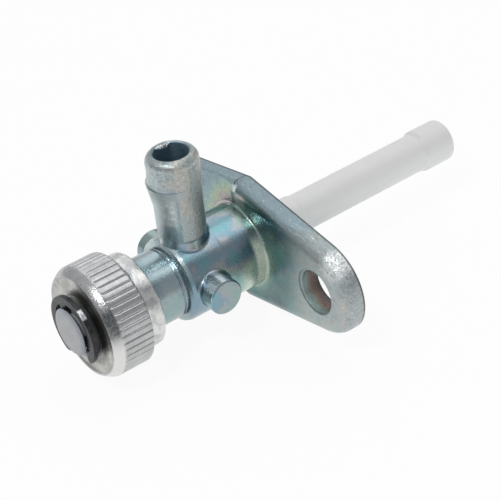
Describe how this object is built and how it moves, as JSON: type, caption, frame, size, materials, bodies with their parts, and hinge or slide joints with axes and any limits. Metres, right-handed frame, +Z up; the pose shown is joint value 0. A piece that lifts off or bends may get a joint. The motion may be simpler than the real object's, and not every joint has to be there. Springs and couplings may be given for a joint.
{
  "type": "fuel tap",
  "caption": "Screw-down fuel tap: cast body with a diamond bolt flange, hose spigot, knurled knob, clip-held plunger and a plastic standpipe.",
  "frame": {"origin": "centre of the flange's back face, on the line of the standpipe", "axes": "+Y along the standpipe into the tank, +X along the two bolt holes, +Z up the hose spigot"},
  "size_m": [0.048, 0.0694, 0.0302],
  "materials": {
    "zinc_casting": "zinc plated, blue passivated die casting",
    "seal_rubber": "matt black rubber",
    "nylon": "translucent natural nylon",
    "gauze": "fine stainless gauze",
    "grey_plastic": "smooth grey plastic",
    "black_steel": "black phosphated spring steel",
    "knob_aluminium": "turned and knurled aluminium"
  },
  "bodies": {
    "casting": {"valve_body": "zinc_casting", "tank_seal": "seal_rubber", "standpipe": "nylon", "strainer": "gauze"},
    "spindle": {"plunger": "grey_plastic", "seat_pad": "seal_rubber", "stem_seal_front": "seal_rubber", "stem_seal_rear": "seal_rubber", "e_clip": "black_steel"},
    "grip": {"knob": "knob_aluminium"}
  },
  "joints": [
    {"name": "plunger_slide", "type": "slide", "parent": "casting", "child": "spindle", "axis": [0, 1, 0], "range_m": [0, 0.002]},
    {"name": "knob_turn", "type": "hinge", "parent": "spindle", "child": "grip", "pos_m": [0, -0.027, 0], "axis": [0, 1, 0], "range_deg": [0, 720]}
  ],
  "couplings": [
    {"joint": "knob_turn", "follows": "plunger_slide", "rad_per_m": 6283.2}
  ]
}
